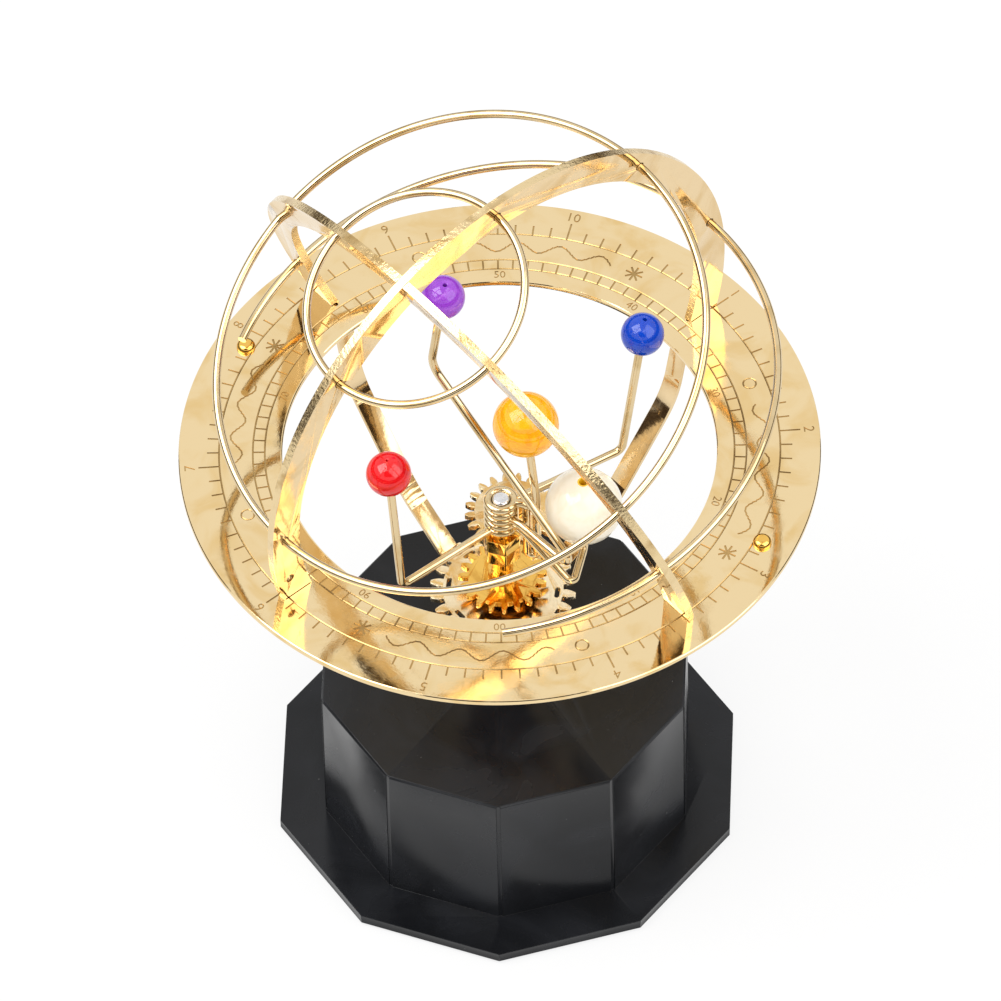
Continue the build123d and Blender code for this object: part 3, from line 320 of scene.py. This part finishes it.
class Bench:
    """Modelling moves that the sub-assemblies share."""

    finishes: dict[str, bpy.types.Material] = {}
    level_cosine: float = 0.99999
    broad_area: float = 8.0  # square millimetres
    merge_reach: float = 0.002
    merge_angle: float = 1.0
    edge_angle: float = 35.0

    @classmethod
    def material(cls, finish: object) -> bpy.types.Material:
        """The material of a finish, made once."""
        if finish.name not in cls.finishes:
            cls.finishes[finish.name] = finish.build()
        return cls.finishes[finish.name]

    @staticmethod
    def only(piece: bpy.types.Object) -> None:
        """Select one piece alone and make it active."""
        bpy.ops.object.select_all(action="DESELECT")
        piece.select_set(True)
        bpy.context.view_layer.objects.active = piece

    @classmethod
    def edit(cls, piece: bpy.types.Object, work: Callable[[], None]) -> None:
        """Do some work in edit mode on one piece."""
        cls.only(piece)
        bpy.ops.object.mode_set(mode="EDIT")
        work()
        bpy.ops.object.mode_set(mode="OBJECT")

    @classmethod
    def modify(cls, piece: bpy.types.Object, kind: str, **settings: object) -> None:
        """Add a modifier and apply it."""
        cls.only(piece)
        modifier = piece.modifiers.new(kind.title(), kind)
        for name, value in settings.items():
            setattr(modifier, name, value)
        bpy.ops.object.modifier_apply(modifier=modifier.name)

    @classmethod
    def settle(
        cls, piece: bpy.types.Object, name: str, finish: object, angle: float = edge_angle
    ) -> bpy.types.Object:
        """Put a piece's place into its mesh, smooth it, name it and give it a finish."""
        cls.only(piece)
        bpy.ops.object.transform_apply(location=True, rotation=True, scale=True)
        bpy.ops.object.shade_smooth_by_angle(angle=math.radians(angle))
        piece.name = name
        if not piece.data.materials:
            piece.data.materials.append(cls.material(finish))
        return piece

    @classmethod
    def is_level(cls, face: bpy.types.MeshPolygon) -> bool:
        """Whether a face lies flat."""
        return abs(face.normal.z) > cls.level_cosine

    @classmethod
    def level(cls, piece: bpy.types.Object) -> None:
        """Shade level and broad faces as truly flat, and weigh the rest by their size."""
        cls.modify(piece, "WEIGHTED_NORMAL", keep_sharp=True, weight=100)
        for face in piece.data.polygons:
            if cls.is_level(face) or face.area > cls.broad_area * MM**2:
                face.use_smooth = False

    @classmethod
    def round_edges(
        cls, piece: bpy.types.Object, width: float, segments: int, angle: float, **settings: object
    ) -> None:
        """Round a piece's edges that are sharper than an angle in degrees."""
        settings |= {"limit_method": "ANGLE", "angle_limit": math.radians(angle)}
        cls.modify(piece, "BEVEL", width=width * MM, segments=segments, **settings)

    @classmethod
    def softened(
        cls, node: str, finish: object, width: float, name: str = ""
    ) -> bpy.types.Object:
        """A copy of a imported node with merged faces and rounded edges.

        Args:
            node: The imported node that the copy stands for.
            finish: Its finish.
            width: How far the edges are rounded, in millimetres.
            name: The new piece's name.

        Returns:
            The finished piece.
        """
        cls.only(frame["nodes"][node])
        bpy.ops.object.duplicate()
        piece = bpy.context.active_object
        body = piece["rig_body"]
        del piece["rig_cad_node"]
        piece.parent = None
        piece.data.materials.clear()

        def merge() -> None:
            """Join the loose triangles into flat faces."""
            bpy.ops.mesh.select_all(action="SELECT")
            bpy.ops.mesh.remove_doubles(threshold=cls.merge_reach * MM)
            bpy.ops.mesh.dissolve_limited(angle_limit=math.radians(cls.merge_angle))

        cls.edit(piece, merge)
        cls.round_edges(piece, width, segments=2, angle=cls.edge_angle, harden_normals=True)
        cls.settle(piece, name or f"{node}_finished", finish)
        if finish is not WIRE:
            cls.level(piece)
        return cls.fit(piece, body, node)

    @staticmethod
    def fit(piece: bpy.types.Object, body: str, *nodes: str) -> bpy.types.Object:
        """Let a piece ride on a body in place of its nodes."""
        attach(piece, body)
        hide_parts(*nodes)
        log.info("%s rides on %s", piece.name, body)
        return piece

    @classmethod
    def dress(cls, finish: object, *nodes: str) -> None:
        """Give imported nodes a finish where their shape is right."""
        for node in nodes:
            piece = frame["nodes"][node]
            piece.data.materials.clear()
            piece.data.materials.append(cls.material(finish))

    @classmethod
    def join(cls, parts: Sequence[bpy.types.Object]) -> bpy.types.Object:
        """Join several meshes into the first."""
        cls.only(parts[0])
        for part in parts:
            part.select_set(True)
        bpy.ops.object.join()
        return bpy.context.active_object


@dataclass
class HorizonRing:
    """The flat engraved ring with its scales, numbers and ornament.

    Turns are in degrees about the spindle, and pairs of sizes are a stroke's reach outwards
    and its width.
    """

    top: float = 124.5
    thickness: float = 1.5
    radius: float = 75.0
    bore: float = 50.7
    foot_radius: float = 62.6
    slot: tuple[float, float] = (7.5, 2.3)
    relief: float = 0.6
    screw_circle: float = 67.4
    screw_turns: tuple[float, float] = (111.1, -66.4)
    screw_bore: float = 1.25
    screw_edge: float = 0.05
    edge_radius: float = 0.45
    cutter_height: float = 6.0
    round_steps: int = 240
    smooth_angle: float = 25.0
    lines: tuple[float, float, float] = (54.8, 57.6, 65.5)
    depth: float = 0.12
    stroke: float = 0.42
    divisions: int = 100
    long_every: int = 10
    first_tick: float = -1.0
    tick: float = 2.8
    long_tick: float = 4.9
    outer_numbers: tuple[float, float] = (72.3, 3.6)  # distance from the spindle, letter size
    inner_numbers: tuple[float, float] = (52.9, 2.9)
    inner_start: float = -131.0
    number_count: int = 10
    star_start: float = 18.0
    star_spokes: int = 4
    star_size: tuple[float, float] = (4.4, 0.5)
    wave_start: float = 6.0
    wave_strokes: int = 44
    wave_step: float = 0.85
    wave_count: float = 4.0
    wave_height: float = 1.4
    wave_slope: float = 1.25
    wave_stroke: tuple[float, float] = (0.4, 1.15)
    pearl: tuple[float, float] = (49.0, 1.5)  # turn from its star, radius
    weld: float = 0.001
    letter_weld: float = 0.0005

    def spot(self, radius: float, turn: float) -> Vector:
        """A point on the ring's top at a distance and angle from the spindle."""
        angle = math.radians(turn)
        return Vector((radius * math.cos(angle), radius * math.sin(angle), self.top)) * MM

    def plate(self) -> bpy.types.Object:
        """The ring's body, spun from a section with rounded rims."""
        bpy.ops.object.select_all(action="DESELECT")
        middle = self.top - self.thickness / 2
        size = (self.radius - self.bore) * MM
        place = Vector(((self.radius + self.bore) / 2, 0, middle)) * MM
        bpy.ops.mesh.primitive_plane_add(size=1, location=place, rotation=(math.pi / 2, 0, 0))
        ring = bpy.context.active_object
        ring.scale = (size, self.thickness * MM, 1)
        bpy.ops.object.transform_apply(location=True, rotation=True, scale=True)

        def spin() -> None:
            """Round the section's corners and turn it about the spindle."""
            bpy.ops.mesh.select_all(action="SELECT")
            bpy.ops.mesh.bevel(offset=self.edge_radius * MM, segments=3, affect="VERTICES")
            bpy.ops.mesh.select_all(action="SELECT")
            bpy.ops.mesh.delete(type="ONLY_FACE")
            bpy.ops.mesh.select_all(action="SELECT")
            bpy.ops.mesh.spin(
                steps=self.round_steps, angle=2 * math.pi, center=(0, 0, 0), axis=(0, 0, 1)
            )
            bpy.ops.mesh.select_all(action="SELECT")
            bpy.ops.mesh.remove_doubles(threshold=self.weld * MM)
            bpy.ops.mesh.normals_make_consistent(inside=False)

        Bench.edit(ring, spin)
        return ring

    def block(
        self, size: tuple[float, float], height: float, radius: float, turn: float
    ) -> bpy.types.Object:
        """A block cutter whose x points outwards."""
        place = self.spot(radius, turn)
        bpy.ops.mesh.primitive_cube_add(size=1, location=place, rotation=(0, 0, math.radians(turn)))
        made = bpy.context.active_object
        made.scale = Vector((*size, height)) * MM
        return made

    def line(self, size: tuple[float, float], radius: float, turn: float) -> bpy.types.Object:
        """A cutter of one engraved stroke."""
        return self.block(size, self.depth * 2, radius, turn)

    def drill(self, bore: float, radius: float, turn: float) -> bpy.types.Object:
        """A round cutter through the ring."""
        bpy.ops.mesh.primitive_cylinder_add(
            vertices=32, radius=bore * MM, depth=self.cutter_height * MM,
            location=self.spot(radius, turn),
        )
        return bpy.context.active_object

    def circle(self, radius: float) -> bpy.types.Object:
        """A thin round groove cutter."""
        bpy.ops.mesh.primitive_torus_add(
            location=Vector((0, 0, self.top)) * MM,
            major_segments=self.round_steps, minor_segments=4,
            major_radius=radius * MM, minor_radius=self.stroke * MM / 2,
        )
        made = bpy.context.active_object
        made.scale.z = 2 * self.depth / self.stroke
        return made

    def number(self, text: str, radius: float, turn: float, size: float) -> bpy.types.Object:
        """A number cutter whose top points outwards."""
        place = self.spot(radius, turn)
        bpy.ops.object.text_add(location=place, rotation=(0, 0, math.radians(turn - 90)))
        made = bpy.context.active_object
        made.data.body = text
        made.data.size = size * MM
        made.data.align_x = made.data.align_y = "CENTER"
        made.data.extrude = self.depth * MM
        made.data.resolution_u = 3
        bpy.ops.object.convert(target="MESH")
        made = bpy.context.active_object

        def close() -> None:
            """Join the letter's faces to its walls."""
            bpy.ops.mesh.select_all(action="SELECT")
            bpy.ops.mesh.remove_doubles(threshold=self.letter_weld * MM)

        Bench.edit(made, close)
        return made

    def ticks(self) -> list[bpy.types.Object]:
        """The strokes of the inner ladder and of the outer scale."""
        made = []
        first, second, third = self.lines
        rung = second - first
        for step in range(self.divisions):
            turn = self.first_tick - step * 360 / self.divisions
            made.append(self.line((rung, self.stroke), first + rung / 2, turn))
            length = self.long_tick if step % self.long_every == 0 else self.tick
            made.append(self.line((length, self.stroke), third + length / 2, turn))
        return made

    def ornament(self) -> list[bpy.types.Object]:
        """Four engraved groups of a star, a ring and a wavy line of short strokes."""
        made = []
        middle = (self.lines[1] + self.lines[2]) / 2
        for quarter in range(4):
            start = self.star_start + 90 * quarter
            for spoke in range(self.star_spokes):
                star = self.line(self.star_size, middle, start)
                star.rotation_euler.z += spoke * math.pi / self.star_spokes
                made.append(star)
            for step in range(self.wave_strokes):
                wave = step / self.wave_strokes * self.wave_count * 2 * math.pi
                radius = middle + self.wave_height * math.sin(wave)
                turn = start + self.wave_start + step * self.wave_step
                stroke = self.line(self.wave_stroke, radius, turn)
                stroke.rotation_euler.z -= math.atan(self.wave_slope * math.cos(wave))
                made.append(stroke)
            turn, size = self.pearl
            pearl = self.circle(size)
            pearl.location = self.spot(middle, start + turn)
            made.append(pearl)
        return made

    def numbers(self) -> list[bpy.types.Object]:
        """The numbers of both scales, which run opposite ways."""
        made = []
        apart = 360 / self.number_count
        for step in range(self.number_count):
            radius, size = self.outer_numbers
            made.append(self.number(str(step + 1), radius, self.first_tick - apart * step, size))
            radius, size = self.inner_numbers
            text = f"{step * self.long_every:02d}"
            made.append(self.number(text, radius, self.inner_start + apart * step, size))
        return made

    def cut(self, ring: bpy.types.Object, cutters: list[bpy.types.Object]) -> None:
        """Cut a group of cutters out of the ring and give the cut walls the darker groove colour, a
        painted shade in the grooves and holes.
        """
        for cutter in cutters:
            # The cut walls take the darker groove colour, painted shade in the grooves and holes.
            cutter.data.materials.clear()
            cutter.data.materials.append(Bench.material(GROOVE_SHADE))
        tool = Bench.join(cutters)
        settings = {"solver": "EXACT", "use_self": True, "material_mode": "TRANSFER"}
        Bench.modify(ring, "BOOLEAN", object=tool, **settings)
        bpy.data.objects.remove(tool)

    def build(self) -> None:
        """Make the ring."""
        ring = self.plate()
        ring.data.materials.append(Bench.material(SHEET))
        holes = [self.drill(self.screw_bore, self.screw_circle, turn) for turn in self.screw_turns]
        for turn in (0, 90, 180, 270):
            holes.append(self.block(self.slot, self.cutter_height, self.foot_radius, turn))
            holes.append(self.drill(self.relief, self.foot_radius - self.slot[0] / 2, turn))
        self.cut(ring, holes)
        marks = self.ticks() + self.ornament() + [self.circle(radius) for radius in self.lines]
        self.cut(ring, marks + self.numbers())
        Bench.settle(ring, "engraved_ring", SHEET, self.smooth_angle)
        for face in ring.data.polygons:
            face.use_smooth = not Bench.is_level(face)
        Bench.fit(ring, "root", "horizon_ring")
        Bench.softened("ring_screws", BRASS, self.screw_edge)
        Bench.dress(BRASS, "ring_screw_nuts")


@dataclass
class Cage:
    """The two arches, the wire circles and the straps that carry the ring."""

    centre: float = 143.5
    wire: float = 1.0
    wire_angle: float = 60.0
    pole_tilt: float = 23.5
    arch_lean: float = 18.5
    rim_cosine: float = 0.3
    arch_edge: float = 0.14
    strap_edge: float = 0.12
    # Name, radius and lift along the pole of each closed circle.
    closed: tuple[tuple[str, float, float], ...] = (("small", 26.3, 60.0), ("medium", 59.5, 28.0))
    open_radius: float = 66.0
    open_tilt: float = 11.5
    open_turn: float = 162.0
    open_start: float = 67.5
    open_sweep: float = 247.0
    open_steps: int = 220
    end_radius: float = 0.6

    def build(self) -> None:
        """Make the cage."""
        for name, radius, lift in self.closed:
            tilt = math.radians(self.pole_tilt)
            place = Vector((-math.sin(tilt) * lift, 0, self.centre + math.cos(tilt) * lift)) * MM
            bpy.ops.object.select_all(action="DESELECT")
            bpy.ops.mesh.primitive_torus_add(
                location=place, rotation=(0, -tilt, 0), major_segments=256, minor_segments=28,
                major_radius=radius * MM, minor_radius=self.wire * MM,
            )
            ring = bpy.context.active_object
            Bench.settle(ring, f"{name}_wire_circle", WIRE, self.wire_angle)
            Bench.fit(ring, "root", f"wire_ring_{name}")
        self.open_circle()
        for arch in ("arch_a", "arch_b"):
            piece = Bench.softened(arch, ARCH, self.arch_edge)
            piece.data.materials.append(Bench.material(SHEARED))
            for face in piece.data.polygons:
                face.material_index = int(self.is_rim(arch, face.normal))
        for strap in ("strap_lower", "strap_upper"):
            Bench.softened(strap, ARCH, self.strap_edge)

    def open_circle(self) -> None:
        """The open wire C, whose gap faces the side where the pole leans."""
        data = bpy.data.curves.new("open_wire", "CURVE")
        data.dimensions = "3D"
        data.bevel_depth = self.wire * MM
        data.bevel_resolution = 6
        data.use_fill_caps = True
        line = data.splines.new("POLY")
        line.points.add(self.open_steps)
        for step in range(self.open_steps + 1):
            angle = math.radians(self.open_start + self.open_sweep * step / self.open_steps)
            spot = Vector((math.cos(angle), math.sin(angle), 0)) * self.open_radius * MM
            line.points[step].co = (*spot, 1)
        piece = bpy.data.objects.new("open_wire", data)
        bpy.context.scene.collection.objects.link(piece)
        turn = Matrix.Rotation(math.radians(self.open_turn), 4, "Z")
        tilt = Matrix.Rotation(math.radians(self.open_tilt), 4, "Y")
        piece.matrix_world = Matrix.Translation((0, 0, self.centre * MM)) @ turn @ tilt
        Bench.only(piece)
        bpy.ops.object.convert(target="MESH")
        piece = bpy.context.active_object
        Bench.settle(piece, "open_wire_circle", WIRE, self.wire_angle)
        Bench.round_edges(piece, self.end_radius, segments=4, angle=50)
        Bench.fit(piece, "root", "wire_ring_large")

    def is_rim(self, arch: str, normal: Vector) -> bool:
        """Whether a face is on the sheared rim and not on the flat of its arch."""
        lean = math.radians(self.arch_lean)
        flat = Vector((math.cos(lean), 0, math.sin(lean)))
        if arch == "arch_b":
            flat = Vector((0, 1, 0))
        return abs(normal.dot(flat)) < self.rim_cosine


@dataclass
class Planets:
    """The five bent wires and the balls that they carry."""

    bore: float = 1.05
    white_bore: float = 1.7
    rounding: float = 0.22
    wire_edge: float = 0.02
    # Name, turn, distance from the spindle, height and radius, and the lean of the wire's end.
    balls: tuple[tuple[str, float, tuple[float, float, float], float], ...] = (
        ("red", 177.5, (32.5, 140.5, 5.3), 3.55),
        ("purple", -83.0, (-16.8, 166.4, 5.2), 8.95),
        ("blue", -10.5, (39.0, 142.0, 5.1), 8.79),
        ("sun", -53.0, (6.4, 135.0, 7.75), -4.45),
        ("white", -46.0, (19.5, 105.0, 9.15), 0.0),
    )

    def ball(self, radius: float, bore: float, finish: object) -> bpy.types.Object:
        """A polished ball with a rounded hole down its middle, at the origin."""
        bpy.ops.object.select_all(action="DESELECT")
        bpy.ops.mesh.primitive_uv_sphere_add(segments=64, ring_count=64, radius=radius * MM)
        made = bpy.context.active_object
        reach = math.sqrt(radius**2 - bore**2) * MM

        def hollow() -> None:
            """Cut both poles off and join the holes with a wall."""
            for side in (-1, 1):
                bpy.ops.mesh.select_all(action="SELECT")
                point, way = (0, 0, side * reach), (0, 0, side)
                bpy.ops.mesh.bisect(plane_co=point, plane_no=way, clear_outer=True)
            bpy.ops.mesh.select_all(action="DESELECT")
            bpy.ops.mesh.select_non_manifold()
            bpy.ops.mesh.bridge_edge_loops()

        Bench.edit(made, hollow)
        Bench.round_edges(made, self.rounding, segments=3, angle=50)
        made.data.materials.append(Bench.material(finish))
        return made

    def build(self) -> None:
        """Make the balls and dress the wires."""
        for name, turn, (rho, z, radius), lean in self.balls:
            bore = self.white_bore if name == "white" else self.bore
            made = self.ball(radius, bore, RESINS[name])
            made.matrix_world = (
                Matrix.Rotation(math.radians(turn), 4, "Z")
                @ Matrix.Translation(Vector((rho, 0, z)) * MM)
                @ Matrix.Rotation(math.radians(lean), 4, "Y")
            )
            Bench.settle(made, f"{name}_ball", RESINS[name], angle=40)
            Bench.fit(made, f"arm_{name}", f"bead_{name}")
            Bench.softened(f"arm_{name}", WIRE, self.wire_edge, f"{name}_wire")
        Bench.dress(RESINS["lining"], "bead_white_lining")


@dataclass
class Works:
    """The base, the spindle, the gears and what is inside."""

    pin_bottom: float = 93.9
    housing_edge: float = 0.35
    shaft_edge: float = 0.12
    edge: float = 0.1

    def build(self) -> None:
        """Make and dress the works."""
        Bench.softened("base_housing", BLACK, self.housing_edge)
        for node in (
            "pedestal", "strap_nut", "small_gear", "hub_nuts", "layshaft_nut", "wheel_collar"
        ):
            Bench.softened(node, BRASS, self.edge)
        for node in ("large_gear", "layshaft_gear"):
            Bench.softened(node, PALE, self.edge)
        spindle = Bench.softened("spindle", BRASS, self.shaft_edge)
        spindle.data.materials.append(Bench.material(STEEL))
        for face in spindle.data.polygons:
            face.material_index = int(face.center.z > self.pin_bottom * MM)
        Bench.softened("hub_washer", BRASS, self.shaft_edge)
        Bench.dress(BRASS, "bearing_sleeve", "wheel_spacer", "layshaft_pillar", "layshaft_pinion")
        Bench.dress(STEEL, "battery_contacts", "gearbox_screws", "cover_screws")
        Bench.dress(STEEL, "motor_can", "layshaft_post")
        Bench.dress(WHITE, "gearbox_case", "drive_coupling")
        Bench.dress(BLACK, "bottom_cover", "battery_door", "switch_body", "switch_knob")
        Bench.dress(RUBBER, "rubber_feet")
        Bench.dress(SLEEVE, "battery_cells")


@dataclass
class Studio:
    """The pale floor, the soft light and the camera.

    Azimuth, elevation and roll are the camera's, in degrees, and its focal length is in
    pixels of the picture.
    """

    azimuth: float = -39.9
    elevation: float = 51.07
    roll: float = 1.41
    distance: float = 3000.0
    far_clip: float = 20000.0
    focal: float = 12777.44
    pixels: float = 1001.0
    shift: tuple[float, float] = (-0.17, 3.31)
    target: float = 100.0
    soft_light: float = 0.55
    floor_size: float = 8000.0
    floor_grey: float = 0.86
    floor_glow: float = 0.82
    lamp_reach: float = 1200.0
    card_reach: float = 1500.0
    band_radius: float = 1600.0
    band_height: float = 550.0
    band_middle: float = 360.0
    card_colour: Colour = (0.05, 0.03, 0.015)

    def camera(self) -> None:
        """Place the camera as the photograph's."""
        a, e, r = (math.radians(v) for v in (self.azimuth, self.elevation, self.roll))
        back = Vector((math.sin(a) * math.cos(e), -math.cos(a) * math.cos(e), math.sin(e)))
        side = Vector((math.cos(a), math.sin(a), 0))
        up = back.cross(side)
        across = math.cos(r) * side - math.sin(r) * up
        upwards = math.sin(r) * side + math.cos(r) * up
        data = bpy.data.cameras.new("camera")
        data.lens = self.focal / self.pixels * data.sensor_width
        data.clip_end = self.far_clip * MM
        seen = bpy.data.objects.new("camera", data)
        bpy.context.scene.collection.objects.link(seen)
        place = Vector((0, 0, self.target)) + across * self.shift[0] + upwards * self.shift[1]
        turned = Matrix((across, upwards, back)).transposed().to_4x4()
        seen.matrix_world = Matrix.Translation((place + back * self.distance) * MM) @ turned
        bpy.context.scene.camera = seen

    def way(self, turn: float, lift: float) -> Vector:
        """The direction from the object at a turn and a lift in degrees."""
        a, e = math.radians(turn), math.radians(lift)
        return Vector((math.cos(a) * math.cos(e), math.sin(a) * math.cos(e), math.sin(e)))

    def lamp(self, name: str, turn: float, lift: float, size: float, power: float) -> None:
        """Hang one soft square lamp that faces the object."""
        data = bpy.data.lights.new(name, "AREA")
        data.size = size * MM
        data.energy = power
        lamp = bpy.data.objects.new(name, data)
        bpy.context.scene.collection.objects.link(lamp)
        way = self.way(turn, lift)
        lamp.location = (way * self.lamp_reach + Vector((0, 0, self.target))) * MM
        lamp.rotation_euler = way.to_track_quat("Z", "Y").to_euler()

    def world(self) -> None:
        """A plain pale world that the camera and the metal see as white."""
        world = bpy.data.worlds.new("studio")
        bpy.context.scene.world = world
        recipe = Recipe(world)
        kind, colour = "ShaderNodeBackground", (1, 1, 1, 1)
        soft = recipe.shader(kind, Color=colour, Strength=self.soft_light)
        white = recipe.shader(kind, Color=colour, Strength=1.0)
        recipe.close(recipe.blend(recipe.seen(), soft, white), "ShaderNodeOutputWorld")

    def floor(self) -> None:
        """A pale floor that keeps a faint shadow."""
        bpy.ops.object.select_all(action="DESELECT")
        bpy.ops.mesh.primitive_plane_add(size=self.floor_size * MM)
        floor = bpy.context.active_object
        floor.name = "floor"
        recipe = Recipe.named("pale_floor")
        grey = (self.floor_grey,) * 3
        matt = recipe.shader("ShaderNodeBsdfDiffuse", Color=(*grey, 1))
        glow = recipe.shader("ShaderNodeEmission", Strength=1.0)
        share = recipe.seen() * self.floor_glow
        floor.data.materials.append(recipe.close(recipe.blend(share, matt, glow)))

    def flag(self, name: str, turn: float, lift: float, size: Sequence[float]) -> None:
        """A dark studio card that only the metal sees."""
        bpy.ops.object.select_all(action="DESELECT")
        way = self.way(turn, lift)
        spin = way.to_track_quat("Z", "Y").to_euler()
        place = way * self.card_reach * MM
        bpy.ops.mesh.primitive_plane_add(size=1, location=place, rotation=spin)
        card = bpy.context.active_object
        card.name = name
        card.scale = Vector((*size, 0)) * MM + Vector((0, 0, 1))
        self.darken(card)

    def band(self) -> None:
        """A dark band at the studio's horizon that only the metal sees."""
        bpy.ops.object.select_all(action="DESELECT")
        bpy.ops.mesh.primitive_cylinder_add(
            vertices=96, radius=self.band_radius * MM, depth=self.band_height * MM,
            end_fill_type="NOTHING",
        )
        card = bpy.context.active_object
        card.name = "horizon_band"
        card.location.z = self.band_middle * MM
        self.darken(card)

    def darken(self, card: bpy.types.Object) -> None:
        """Make a card dark, and hide it from all but reflections."""
        dark = Recipe.named(card.name).finish(Base_Color=(*self.card_colour, 1), Roughness=0.9)
        card.data.materials.append(dark)
        card.visible_camera = card.visible_diffuse = card.visible_shadow = False

    def build(self) -> None:
        """Set the studio up."""
        bpy.context.scene.view_settings.view_transform = "Standard"
        self.camera()
        self.world()
        self.floor()
        self.lamp("key", turn=150, lift=60, size=900, power=12)
        self.lamp("fill", turn=-70, lift=50, size=1200, power=9)
        self.band()
        self.flag("front_card", turn=-130, lift=52, size=(1100, 700))


def main() -> None:
    """Build the orrery and its studio in order."""
    logging.basicConfig(level=logging.INFO)
    for part in (Works(), Cage(), Planets(), HorizonRing(), Studio()):
        part.build()
        log.info("%s is done", type(part).__name__)


if __name__ == "__main__":
    main()
